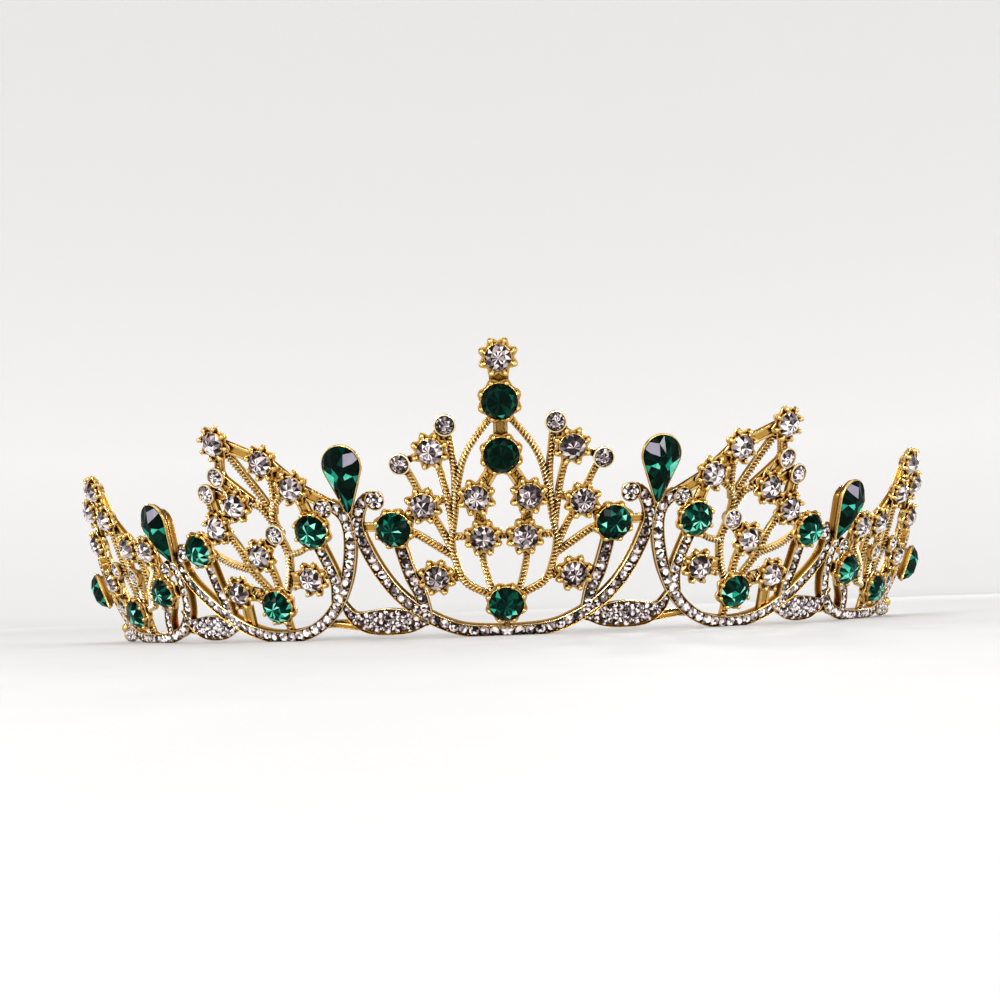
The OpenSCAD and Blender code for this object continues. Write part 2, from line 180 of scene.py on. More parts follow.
# Links behind the leaves: from and to, in degrees round the arc. Then their height up the wall, their
# width and half their thickness
LINKS = [(7.2, 21.6), (31.4, 44.4)]
LINK_Y, LINK_WIDTH, LINK_HALF = 2.9, 1.4, 0.4
# Places of the small lights, in metres
GLINTS = [(-0.5, -0.5, 0.25), (0.12, -0.6, 0.1), (0.55, -0.35, 0.3), (-0.12, -0.5, 0.45),
          (0.35, -0.45, 0.5), (-0.3, -0.6, 0.06), (-0.45, 0.5, 0.35), (0.15, 0.6, 0.3), (0.5, 0.5, 0.15)]

# Tones among the facets of the stones, from dark to bright, and how often each comes. Picked at random
# for each facet, they stand in for the facets' reflections: painted reflections.
CRYSTAL_TONES = ((0.0, 0.3, 0.5, 0.75, 1.0), (4, 3, 4, 3, 3))
EMERALD_TONES = ((0.0, 0.15, 0.35, 0.6, 0.85), (8, 5, 4, 3, 2))
PEAR_TONES = ((0.0, 0.15, 0.35), (8, 5, 4))
DEEP_TONES = ((0.0, 0.1, 0.25, 0.4), (7, 4, 3, 1))
# What is added to the tones of the kites, stars, girdle facets, table wedges and inner stars. The
# kites, girdle facets and wedges are in twos, so that bright and dark rays take turns, as painted
# reflections.
CRYSTAL_RAYS = (0.1, -0.15, 0.1, 0.25, -0.2, 0.3, -0.2, 0.1)
EMERALD_RAYS = (0.0, -0.25, 0.2, 0.15, -0.1, 0.3, -0.15, 0.0)
DEEP_RAYS = (-0.05, -0.2, 0.42, 0.0, -0.1, 0.0, -0.1, 0.05)
# Green stones that look dark, with a ring of painted glints
DEEP_STONES = ("front_green_top", "front_green_middle")
# Painted light: what is added to the tones of each panel's clear and green stones, and how far these fall
# from the middle to the top of a stone and rise to its foot
CLEAR_LIGHT = {"front": (-0.2, 0.14), "side": (0.0, 0.3), "outer": (0.08, 0.4)}
GREEN_LIGHT = {"front": (-0.06, 0.1), "side": (0.1, 0.35), "outer": (0.1, 0.4)}
# What is added to the tones of each panel's pave, as painted light, and the brightest tone of its
# clear stones and of the green ones
PAVE_LIGHT = {"front": -0.1, "side": 0.03, "outer": 0.1}
CLEAR_LIMIT = {"front": 0.86, "side": 1.0, "outer": 1.0}
GREEN_LIMIT = 0.92
# Painted reflections on a pear's facets, in the right-hand drawing: x, y, radius, tone
PEAR_GLINTS = [
    (-2.2, 1.3, 1.2, 1.0), (2.2, -2.0, 1.5, 0.87), (0.9, -1.5, 0.8, 0.72), (-1.7, -1.5, 0.7, 0.85),
    (-2.8, -2.8, 0.8, 0.75), (-0.5, -6.6, 0.7, 0.7),
]


def both_sides(right, floor, back):
    """Tones of a band's cross-section from those of its right half, its floor and its back."""
    return [*right, floor, *reversed(right), back]


# Tones of a band from its back edge round to its floor, as channel() draws it: painted shade in the
# groove, on the inner walls and on the floor between the stones, and a painted highlight on the lips'
# tops; the webs' floor is painted brighter
RIM_SHADES = both_sides([0.8, 0.5, 0.25, 0.35, 0.8, 1.15, 1.2, 0.7, 0.4], 0.15, 0.7)
WEB_SHADES = both_sides([0.6, 0.45, 0.3, 0.4, 0.8, 1.0, 1.0, 0.9, 0.75], 0.8, 0.7)


def width_of(node):
    """Width of a stone of the frame, in metres."""
    low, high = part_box(node)
    return round(high.x - low.x, 5)


def length_setting(name, description, default):
    return bpy.props.FloatProperty(name=name, description=description, default=default, unit="LENGTH")


def power_setting(name, description, default):
    return bpy.props.FloatProperty(name=name, description=description, default=default, unit="POWER")


def angle_setting(name, description, degrees):
    return bpy.props.FloatProperty(
        name=name, description=description, default=math.radians(degrees), subtype="ANGLE")


def colour_setting(name, description, default):
    return bpy.props.FloatVectorProperty(
        name=name, description=description, default=default, subtype="COLOR", min=0, max=1)


class CrownShape(bpy.types.PropertyGroup):
    """Form of the flared wall that everything is bent round."""
    ring_radius: length_setting("Ring radius", "Radius of the lower edge", 0.094)
    flare: angle_setting("Flare", "Outward lean of the wall", 20)
    side_angle: angle_setting("Side medallions", "Angle of the side medallions round the arc", 28)
    outer_angle: angle_setting("Outer medallions", "Angle of the outer medallions round the arc", 52.5)


class CrownMetal(bpy.types.PropertyGroup):
    """Sizes and colours of the gold-plated metal."""
    rim_width: length_setting("Rim width", "Width of a pave rim", 0.0023)
    rim_thickness: length_setting("Rim thickness", "Thickness of a pave rim", 0.0018)
    rope_diameter: length_setting("Rope diameter", "Diameter of the roped wires", 0.00138)
    rope_pitch: length_setting("Rope pitch", "Length of one turn of the two strands", 0.00138)
    leaf_width: length_setting("Leaf width", "Width of a leaf at its middle", 0.0052)
    stem_width: length_setting("Stem width", "Width of the stem at each end", 0.003)
    ball_diameter: length_setting("Ball diameter", "Diameter of the balls at the ends", 0.0024)
    claw_diameter: length_setting("Claw diameter", "Thickness of a claw under its tip", 0.00055)
    bud_diameter: length_setting("Bud diameter", "Diameter of the buds that end the rims", 0.0037)
    # The plate's own colour, and also the middle stop of its painted shade, between the open colour and
    # the amber of the hollows.
    gold: colour_setting("Gold", "Colour of the polished plate", (0.5, 0.262, 0.036))
    # Painted light: the plate takes this colour where its faces are open and of the usual tone; where
    # they are less open, painted shade darkens them towards the gold, amber and hollow colours.
    unshaded_gold: colour_setting("Crest", "Colour of the plate where it is rubbed bright", (0.77, 0.54, 0.2))
    # Painted highlight: faces whose tones run above one, such as the strands' backs, the lips and the
    # collars, take this paler colour where they are open.
    pale: colour_setting("Pale", "Colour of the plate on the backs of the ropes' strands",
                         (0.95, 0.82, 0.52))
    # Painted shade: the plate takes this colour in deep hollows, where the occlusion and the faces' low
    # tones paint the most shade.
    painted_hollow_shade: colour_setting("Recess", "Colour of the plate in its hollows", (0.03, 0.012, 0.003))


class CrownStones(bpy.types.PropertyGroup):
    """Sizes and colours of the cut stones."""
    green_diameter: length_setting("Round emeralds", "Diameter of the round emeralds",
                                   width_of("front_green_middle"))
    clear_diameter: length_setting("Clear stones", "Diameter of the clear stones in claws",
                                   width_of("front_clear_top"))
    small_diameter: length_setting("Small stones", "Diameter of the clear stones in collars", 0.0031)
    pear_width: length_setting("Pear width", "Width of the pears", 0.0069)
    pear_length: length_setting("Pear length", "Length of the pears", 0.012)
    pave_diameter: length_setting("Pave stones", "Diameter of the pave stones", 0.00182)
    emerald: colour_setting("Emerald", "Middle colour of the green stones", (0.002, 0.086, 0.054))
    crystal: colour_setting("Crystal", "Middle colour of the clear stones", (0.3, 0.24, 0.245))


class CrownStage(bpy.types.PropertyGroup):
    """Camera, floor and light."""
    side: length_setting("Camera side", "Place of the camera along X", -0.0005)
    distance: length_setting("Camera distance", "Distance of the camera in front of the crown's foot",
                             0.2135)
    height: length_setting("Camera height", "Height of the camera above the floor", 0.006)
    pitch: angle_setting("Camera pitch", "Upward tilt of the camera", 5)
    roll: angle_setting("Camera roll", "Turn of the camera about its own axis", -2)
    lens: bpy.props.FloatProperty(
        name="Lens", description="Focal length on a 36 mm sensor", default=42, unit="CAMERA")
    floor: colour_setting("Floor", "Colour of the floor", (0.585, 0.58, 0.575))
    sky_power: power_setting("Sky light", "Power of the broad light overhead", 20)
    key_power: power_setting("Key light", "Power of the main light", 4)
    glint_power: power_setting("Glint light", "Power of each of the small lights", 0.5)


class Wall:
    """The flared wall, with x along it and y up it from a panel's foot, in millimetres."""

    def __init__(self):
        shape = bpy.context.scene.crown_shape
        self.ring = shape.ring_radius / MM
        self.flare = shape.flare
        self.panels = {"front": 0.0, "side": shape.side_angle, "outer": shape.outer_angle}

    def place(self, panel, x, y, out):
        """Angle round the arc and point of a place on the wall, in metres."""
        radius = self.ring + y * math.sin(self.flare)
        angle = self.panels[panel] + x / radius
        radius += out * math.cos(self.flare)
        point = Vector((radius * math.sin(angle), self.ring - radius * math.cos(angle),
                        y * math.cos(self.flare) - out * math.sin(self.flare)))
        return angle, point * MM

    def seat(self, panel, x, y, lean=0.0, end="right"):
        """Matrix that sets a flat detail, drawn in millimetres with +Z outwards, on the wall, or its
        mirror image at the left end."""
        angle, point = self.place(panel, x, y, 0)
        turn = (Matrix.Rotation(angle, 4, "Z") @ Matrix.Rotation(math.pi / 2 + self.flare, 4, "X")
                @ Matrix.Rotation(-math.radians(lean), 4, "Z"))
        matrix = Matrix.Translation(point) @ turn @ Matrix.Scale(MM, 4)
        return matrix if end == "right" else MIRROR @ matrix

    def sweep(self, panel, path, section, shades=None):
        """Runs a cross-section along a path. section gives points of (sideways, outwards),
        anticlockwise, at a distance along the path and a share of the full width. shades has a
        tone for each side of the cross-section, its painted shade or highlight."""
        points = []
        for i, (distance, (x, y, width)) in enumerate(zip(travelled(path), path)):
            ahead, behind = path[min(i + 1, len(path) - 1)], path[max(i - 1, 0)]
            length = math.dist(ahead[:2], behind[:2])
            left = (behind[1] - ahead[1]) / length, (ahead[0] - behind[0]) / length
            points.extend(self.place(panel, x + left[0] * s, y + left[1] * s, out)[1]
                          for s, out in section(distance, width))
        count = len(points) // len(path)
        tones = (shades or [1.0] * count) * (len(path) - 1) + [1.0, 1.0]
        return points, capped(len(path), count), tones


def new_object(name, data):
    made = bpy.data.objects.new(name, data)
    bpy.context.scene.collection.objects.link(made)
    return made


class Form:
    """Points and faces of one piece, with a tone for each face."""

    def __init__(self):
        self.points, self.faces, self.tones = [], [], []

    def add(self, part, matrix=None):
        """Adds a part, given as points, faces and tones, where a matrix sets it."""
        points, faces, tones = part
        start = len(self.points)
        if matrix is not None:
            points = [matrix @ Vector(p) for p in points]
            if matrix.determinant() < 0:
                faces = [face[::-1] for face in faces]
        self.points.extend(points)
        self.faces.extend([start + i for i in face] for face in faces)
        self.tones.extend(tones or [1.0] * len(faces))

    def mirror(self):
        """Adds the mirror image of all there is so far."""
        self.add((self.points, self.faces, list(self.tones)), MIRROR)

    def piece(self, name, slot, smooth_angle=None):
        """Makes the piece, which rides on the crown's only body. What would reach below the floor
        is filed flat there."""
        mesh = bpy.data.meshes.new(name)
        mesh.from_pydata([(p[0], p[1], max(p[2], 0.0)) for p in self.points], [], self.faces)
        mesh.materials.append(finish_of(slot))
        # Each face's tone is painted shade or highlight on the gold, and a painted reflection on the
        # stones.
        tone = mesh.color_attributes.new("tone", "FLOAT_COLOR", "CORNER")
        values = []
        for polygon, value in zip(mesh.polygons, self.tones):
            values.extend((value, value, value, 1.0) * polygon.loop_total)
        tone.data.foreach_set("color", values)
        if smooth_angle is not None:
            mesh.polygons.foreach_set("use_smooth", [True] * len(mesh.polygons))
            mesh.set_sharp_from_angle(angle=math.radians(smooth_angle))
        mesh.validate()
        mesh.update()
        piece = new_object(name, mesh)
        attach(piece, BODY)
        return piece


def smooth(points, step):
    """Points about every step along the smooth curve through the given ones."""
    points = [tuple(p) if len(p) > 2 else (*p, 1.0) for p in points]
    padded = [points[0], *points, points[-1]]
    curve = []
    for a, b, c, d in zip(padded, padded[1:], padded[2:], padded[3:]):
        count = max(1, round(math.dist(b[:2], c[:2]) / step))
        for k in range(count):
            t = k / count
            curve.append(tuple(
                0.5 * (2 * q + (r - p) * t + (2 * p - 5 * q + 4 * r - s) * t * t
                       + (3 * q - p - 3 * r + s) * t * t * t)
                for p, q, r, s in zip(a, b, c, d)))
    curve.append(points[-1])
    return curve


def travelled(path):
    """Distance of each point along a path from its start."""
    total = [0.0]
    for a, b in zip(path, path[1:]):
        total.append(total[-1] + math.dist(a[:2], b[:2]))
    return total


def along(path, distance):
    """Place on a path at a distance from its start, with its width and its direction."""
    total = travelled(path)
    for i, (start, end) in enumerate(zip(path, path[1:])):
        if total[i + 1] >= distance:
            t = (distance - total[i]) / (total[i + 1] - total[i])
            x, y, width = (p + (q - p) * t for p, q in zip(start, end))
            return x, y, width, math.atan2(end[1] - start[1], end[0] - start[0])
    return (*path[-1], 0.0)


def round_ends(path, radius):
    """The path, drawn out at both ends so that a band along it ends in half circles."""
    def cap(end, inner):
        length = math.dist(end[:2], inner[:2])
        dx, dy = (end[0] - inner[0]) / length, (end[1] - inner[1]) / length
        for degrees in (25, 50, 70, 86):
            turn = math.radians(degrees)
            yield (end[0] + dx * radius * math.sin(turn), end[1] + dy * radius * math.sin(turn),
                   end[2] * math.cos(turn))
    return list(cap(path[0], path[1]))[::-1] + path + list(cap(path[-1], path[-2]))


def turns(count, shift=0.0):
    """Angles of that many points spaced evenly round a circle."""
    return [2 * math.pi * (j + shift) / count for j in range(count)]


def tube(rings, count):
    """Side faces between rings of points, each ring with that many points."""
    faces = []
    for low in range(0, (rings - 1) * count, count):
        for j in range(count):
            k = (j + 1) % count
            faces.append([low + j, low + k, low + count + k, low + count + j])
    return faces


def capped(rings, count):
    """The faces of a tube, with one at each end."""
    last = (rings - 1) * count
    return [*tube(rings, count), list(range(count - 1, -1, -1)), list(range(last, last + count))]


def channel(width, low, high, lip=LIP, depth=0.42):
    """Cross-section of a band with a raised lip along each front edge, a lesser one behind it and
    a groove between them. Where the band narrows to its lips, its floor rises to them."""
    bevel, back, groove = 0.07, 0.88, 0.8

    def section(_distance, share):
        half = max(width / 2 * share, 0.02)
        edge = min(bevel, half * 0.3)
        inner = max(half - lip, half * 0.45)
        drop = edge + (depth - edge) * min(1, max(0, half / lip / 2 - 0.5))
        rise = (high - low) / 6
        right = [(half * back, low), (half * back, low + rise), (half * groove, low + 1.5 * rise),
                 (half * groove, high - 2 * rise), (half, high - 1.3 * rise), (half, high - edge),
                 (half - edge, high), (inner + edge, high), (inner, high - edge),
                 (inner - edge * 0.5, high - drop)]
        return right + [(-s, out) for s, out in reversed(right)]
    return section


def strands(diameter, pitch):
    """Cross-section of a wire twisted from two strands, with a tone for each of its sides: painted shade
    in the gap between the strands and a painted highlight on their backs."""
    corners, waist = 12, 0.46
    gap_tone, gap_side, rise = 0.35, 0.26, 1.9

    def section(distance, _share):
        ring = []
        for a in turns(corners):
            radius = diameter / 2 * max(abs(math.cos(a)), waist)
            turn = a + 2 * math.pi * distance / pitch
            ring.append((radius * math.cos(turn), radius * math.sin(turn)))
        return ring
    return section, [gap_tone + (abs(math.cos(a)) - gap_side) * rise for a in turns(corners, 0.5)]


def flat_bar(width, low, high):
    """Cross-section of a plain bar with softened edges."""
    def section(_distance, share):
        half, edge = width / 2 * share, 0.12
        return [(half, low), (half, high - edge), (half - edge, high),
                (edge - half, high), (-half, high - edge), (-half, low)]
    return section


def lathe(profile, sides, outline=None, shades=None):
    """Turned solid from points of (radius, height), lowest first. outline varies the radius with
    the angle, and shades has a tone for each step of the profile, its painted shade or highlight."""
    points = []
    for radius, height in profile:
        for a in turns(sides):
            r = radius * (outline(a, radius) if outline else 1)
            points.append((r * math.cos(a), r * math.sin(a), height))
    steps = shades or [1.0] * (len(profile) - 1)
    tones = [tone for tone in steps for _ in range(sides)] + [0.7, steps[-1]]
    return points, capped(len(profile), sides), tones


def ball(centre, radius, sides=8, rows=5):
    """Small sphere."""
    x, y, z = centre
    points = [(x, y, z - radius)]
    for i in range(1, rows):
        a = math.pi * (i / rows - 0.5)
        points.extend((x + radius * math.cos(a) * math.cos(b), y + radius * math.cos(a) * math.sin(b),
                       z + radius * math.sin(a)) for b in turns(sides))
    points.append((x, y, z + radius))
    top = len(points) - 1
    faces = []
    for j in range(sides):
        k = (j + 1) % sides
        faces.append([0, 1 + k, 1 + j])
        for low in range(1, 1 + (rows - 2) * sides, sides):
            faces.append([low + j, low + k, low + sides + k, low + sides + j])
        faces.append([top, top - sides + j, top - sides + k])
    return points, faces, None


def wire(route, radii, sides=6):
    """Round wire along a few points in space."""
    points = []
    route = [Vector(p) for p in route]
    for i, (p, radius) in enumerate(zip(route, radii)):
        direction = (route[min(i + 1, len(route) - 1)] - route[max(i - 1, 0)]).normalized()
        across = direction.orthogonal().normalized() if i == 0 else across
        across = (across - direction * across.dot(direction)).normalized()
        other = direction.cross(across)
        points.extend(p + (across * math.cos(a) + other * math.sin(a)) * radius for a in turns(sides))
    return points, capped(len(route), sides), None


def tone_with_painted_light(chance, tones, radius, light):
    """Tone of a facet from its middle: by chance, with painted light, darker above and brighter below."""
    shift, fall = light
    return lambda _x, y: chance.choices(*tones)[0] + shift - fall * y / radius


def pear_tone_with_painted_reflections(chance):
    """Tone of a pear's facet: dark, but for the painted reflections."""
    def tone(x, y):
        dark = chance.choices(*PEAR_TONES)[0]
        return next((t for gx, gy, r, t in PEAR_GLINTS if math.dist((x, y), (gx, gy)) < r), dark)
    return tone


def facet_tones(points, faces, tone):
    """Tone of each facet from the middle of its corners."""
    middles = [[sum(points[i][axis] for i in face) / len(face) for axis in (0, 1)] for face in faces]
    return [tone(x, y) for x, y in middles]


def brilliant(outline, heights, table, middle, sides, tone, rays=(0.0,) * 8, limit=1.0):
    """Cut stone over any outline. outline(u, share) is the point at a share u of the way round, on
    the outline shrunk to that share. heights are those of the underside, girdle and table. tone
    gives each facet its tone up to the limit, with the rays added, and the table shows the facets
    below it."""
    under, girdle, top = heights
    waist = girdle + (top - girdle) * 0.55

    def ring(count, share, height, shift=0.0):
        return [(*outline((k + shift) / count, share), height) for k in range(count)]
    girth = 2 * sides
    points = (ring(girth, 1, under) + ring(girth, 1, girdle) + ring(sides, middle, waist, 0.5)
              + ring(sides, table, top) + ring(sides, table * 0.74, top, 0.5) + [(*outline(0, 0), top)])
    # First points of the girdle, the waist, the table, the star inside it, and the middle
    e, m = girth, 2 * girth
    t, s, c = m + sides, m + 2 * sides, m + 3 * sides
    faces = [list(range(girth - 1, -1, -1)), *tube(2, girth)]
    lifts = [0.0] * len(faces) + list(rays) * sides
    for k in range(sides):
        after, before, corner = (k + 1) % sides, (k - 1) % sides, e + 2 * k
        faces += [[corner, m + k, t + k], [corner, t + k, m + before], [t + k, m + k, t + after],
                  [corner, corner + 1, m + k], [corner + 1, e + (2 * k + 2) % girth, m + k],
                  [c, s + before, t + k], [c, t + k, s + k], [s + k, t + k, t + after]]
    tones = [min(limit, max(0.0, tone + lift))
             for tone, lift in zip(facet_tones(points, faces, tone), lifts)]
    return points, faces, tones


def round_outline(radius, turn):
    """Circle that starts at an angle."""
    return lambda u, share: (radius * share * math.cos(2 * math.pi * u + turn),
                             radius * share * math.sin(2 * math.pi * u + turn))


def small_cut(radius, low, high, chance, light):
    """Pave stone: a table that shows wedges of the facets below it, and eight facets round it, dark
    to one side by chance. Its bright tones are painted highlights, and light is painted light added to
    every tone."""
    sides, girdle = 8, low + (high - low) * 0.35
    points = [(radius * share * math.cos(a), radius * share * math.sin(a), height)
              for share, height in ((1, low), (1, girdle), (0.6, high)) for a in turns(sides, 0.5)]
    table, middle = 2 * sides, 3 * sides
    points.append((0, 0, high))
    faces = tube(3, sides) + [[table + j, table + j + 1, table + (j + 2) % sides, middle]
                              for j in range(0, sides, 2)]
    dark = chance.uniform(0, 2 * math.pi)

    def tone(x, y):
        if math.hypot(x, y) < radius * 0.5:
            return chance.choice((0.1, 0.5, 0.9, 1.0))
        if math.cos(math.atan2(y, x) - dark) > 0.6:
            return chance.choice((0.0, 0.25))
        return chance.choice((0.45, 0.65, 0.8, 1.0))
    return points, faces, [max(0.0, t + light) for t in facet_tones(points, faces, tone)]


def pear_line(grow, count):
    """Outline of a pear grown by a margin, anticlockwise from its tip, as evenly spaced points."""
    stones = bpy.context.scene.crown_stones
    tip, quarter = 0.4, math.pi / 2
    big, small = stones.pear_width / MM / 2 + grow, tip + grow
    drop = stones.pear_length / MM - stones.pear_width / MM / 2 - tip
    lean = math.asin((big - small) / drop)

    def arc(radius, below, start, turn, steps):
        angles = [start + turn * k / steps for k in range(steps + 1)]
        return [(radius * math.cos(a), radius * math.sin(a) - below, 1.0) for a in angles]
    path = (arc(small, drop, -quarter, quarter - lean, 12) + arc(big, 0, -lean, math.pi + 2 * lean, 48)
            + arc(small, drop, math.pi + lean, quarter - lean, 12))
    total = travelled(path)[-1]
    return [along(path, total * k / count)[:2] for k in range(count)]


class Finish:
    """A material in the making. The sockets of its nodes take a value or another node's output."""

    def __init__(self, name):
        self.material = bpy.data.materials.new(name)
        self.material.use_nodes = True
        self.tree = self.material.node_tree
        self.place = self.node("ShaderNodeTexCoord", "Object")

    def fill(self, node, sockets):
        for name, value in sockets.items():
            if isinstance(value, bpy.types.NodeSocket):
                self.tree.links.new(value, node.inputs[name])
            else:
                node.inputs[name].default_value = value

    def node(self, kind, output, sockets=None, **settings):
        """Output of a new node of that kind."""
        node = self.tree.nodes.new(kind)
        for name, value in settings.items():
            setattr(node, name, value)
        self.fill(node, sockets or {})
        return node.outputs[output]

    def surface(self, sockets):
        """The material, once its shader's sockets are filled."""
        self.fill(self.tree.nodes["Principled BSDF"], sockets)
        return self.material

    def tone(self):
        """Tone of each face."""
        return self.node("ShaderNodeAttribute", "Fac", attribute_name="tone")

    def noise(self, scale, detail):
        """Value of a noise of that scale, per metre."""
        return self.node("ShaderNodeTexNoise", "Fac",
                         {"Scale": scale, "Detail": detail, "Vector": self.place})

    def arithmetic(self, operation, left, right):
        return self.node("ShaderNodeMath", 0, {0: left, 1: right}, operation=operation)

    def ramp(self, value, stops):
        """Colour that a value takes from a few stops, each with a position and a colour or grey."""
        colours = self.node("ShaderNodeValToRGB", "Color", {"Fac": value})
        elements = colours.node.color_ramp.elements
        while len(elements) < len(stops):
            elements.new(0.5)
        for element, (position, colour) in zip(elements, stops):
            element.position = position
            element.color = (*((colour,) * 3 if isinstance(colour, (int, float)) else colour), 1)
        return colours

    def bump(self, height, depth):
        """Fine relief of a real depth, in metres."""
        return self.node("ShaderNodeBump", "Normal",
                         {"Strength": 1.0, "Distance": depth, "Height": height})


def gold_finish(name):
    """Polished gold plate: a painted highlight, pale, on its crests, and painted shade, amber and brown,
    in its hollows, with faint clouding and fine grain."""
    metal = bpy.context.scene.crown_metal
    finish = Finish(name)
    # Painted shade: the occlusion darkens the plate in its hollows and between parts, and the faces'
    # tones add more painted shade and highlight, through the ramp from the hollow colour by amber and
    # gold to the open and pale colours.
    hollow = finish.node("ShaderNodeAmbientOcclusion", "AO", {"Distance": 1.0 * MM}, samples=8)
    open_sky = finish.ramp(hollow, [(0.2, 0), (0.75, 0.75)])
    amber = [share * part for share, part in zip((0.45, 0.34, 0.2), metal.gold)]
    shade = finish.ramp(finish.arithmetic("MULTIPLY", open_sky, finish.tone()), [
        (0.0, metal.painted_hollow_shade), (0.3, amber), (0.56, metal.gold), (0.75, metal.unshaded_gold), (1.0, metal.pale)])
    cloud = finish.noise(900, 3)
    tint = finish.node("ShaderNodeMix", "Result", {
        "Factor": 0.4, "A": shade, "B": finish.ramp(cloud, [(0.3, (0.88, 0.79, 0.6)), (0.65, 1)]),
    }, data_type="RGBA", blend_type="MULTIPLY")
    return finish.surface({
        "Metallic": 1.0, "Base Color": tint,
        "Roughness": finish.ramp(cloud, [(0.3, 0.32), (0.7, 0.16)]),
        "Normal": finish.bump(finish.noise(4200, 2), 0.000035)})


def stone_finish(name, stops, roughness, gloss):
    """Cut glass, foiled beneath: each facet has its own tone, a painted reflection, under a hard clear
    gloss.
    """
    finish = Finish(name)
    flaw = finish.arithmetic("MULTIPLY", finish.noise(1500, 1), 0.12)
    tone = finish.arithmetic("ADD", finish.arithmetic("SUBTRACT", flaw, 0.06), finish.tone())
    return finish.surface({"Base Color": finish.ramp(tone, stops), "Roughness": roughness,
                           "IOR": 1.28, "Specular IOR Level": gloss})


def crystal_finish(name):
    middle = bpy.context.scene.crown_stones.crystal
    # The stops colour the facets' painted reflections, from near black to a painted white highlight.
    return stone_finish(name, [
        (0.0, (0.008, 0.004, 0.004)), (0.3, [0.2 * c for c in middle]), (0.62, middle),
        (0.85, (0.76, 0.66, 0.65)), (1.0, (1, 0.95, 0.95))], 0.08, 0.4)


def emerald_finish(name):
    middle = bpy.context.scene.crown_stones.emerald
    # The stops colour the facets' painted reflections: mint for painted glints and, at the top,
    # grey-lilac for a painted reflection of the sky.
    return stone_finish(name, [
        (0.0, (0.0, 0.0035, 0.002)), (0.4, [0.24 * c for c in middle]), (0.66, middle),
        (0.84, (0.02, 0.42, 0.28)), (0.93, (0.26, 0.8, 0.61)), (0.97, (0.22, 0.2, 0.25))], 0.06, 0.13)


def floor_finish(name):
    """Matt pale paper with a trace of grain, faintly lit from behind where it rises."""
    colour = bpy.context.scene.crown_stage.floor
    finish = Finish(name)
    reach = finish.node("ShaderNodeVectorMath", "Value", {0: finish.place}, operation="LENGTH")
    glow = finish.ramp(finish.arithmetic("MULTIPLY", reach, 0.3),
                       [(0.1, 0), (0.3, 0.64), (0.6, 0.95), (0.9, 0.92)])
    paper = finish.ramp(finish.noise(60, 4), [(0.3, [0.97 * c for c in colour]), (0.7, colour)])
    return finish.surface({
        "Base Color": paper, "Roughness": 0.7, "Emission Color": (*colour, 1),
        "Emission Strength": glow, "Normal": finish.bump(finish.noise(1500, 2), 0.00004)})


# Name and maker of the material of each slot and of the floor
FINISHES = {"gold": ("gold_plate", gold_finish), "crystal": ("clear_glass", crystal_finish),
            "emerald": ("green_glass", emerald_finish), "floor": ("pale_paper", floor_finish)}


def finish_of(slot):
    """The slot's material, made once."""
    name, make = FINISHES[slot]
    return bpy.data.materials.get(name) or make(name)


def stone_sizes(kind):
    """Diameter, underside, girdle and table heights of a round stone, in millimetres."""
    stones = bpy.context.scene.crown_stones
    return {"green": (stones.green_diameter / MM, 1.22, 1.82, 3.22),
            "clear": (stones.clear_diameter / MM, 1.02, 1.52, 2.52),
            "small": (stones.small_diameter / MM, 0.92, 1.32, 1.82)}[kind]


def field(panel):
    """Place and kind of each lesser stone of a panel."""
    return [(x, y, kind) for kind, places in FIELDS.get(panel, {}).items() for x, y in places]


def pave_row(form, wall, panel, path, margins, out, chance, beads):
    """Sets a row of pave stones along a path, clear of its ends by the margins, with a grain of
    metal at each side of each gap."""
    size = bpy.context.scene.crown_stones.pave_diameter / MM
    pitch, depth, grain = size * 1.02, 0.42, 0.22
    room = travelled(path)[-1] - sum(margins)
    count = max(1, int((room + size * 0.25) / pitch))
    start = margins[0] + (room - (count - 1) * pitch) / 2
    for k in range(count):
        x, y, _width, heading = along(path, start + k * pitch)
        matrix = wall.seat(panel, x, y) @ Matrix.Rotation(heading, 4, "Z")
        form.add(small_cut(size / 2, out, out + depth, chance, PAVE_LIGHT[panel]), matrix)
        if k:
            for edge in (-1, 1):
                beads.add(ball((-pitch / 2, edge * size * 0.42, out + 0.28), grain, 6, 4), matrix)


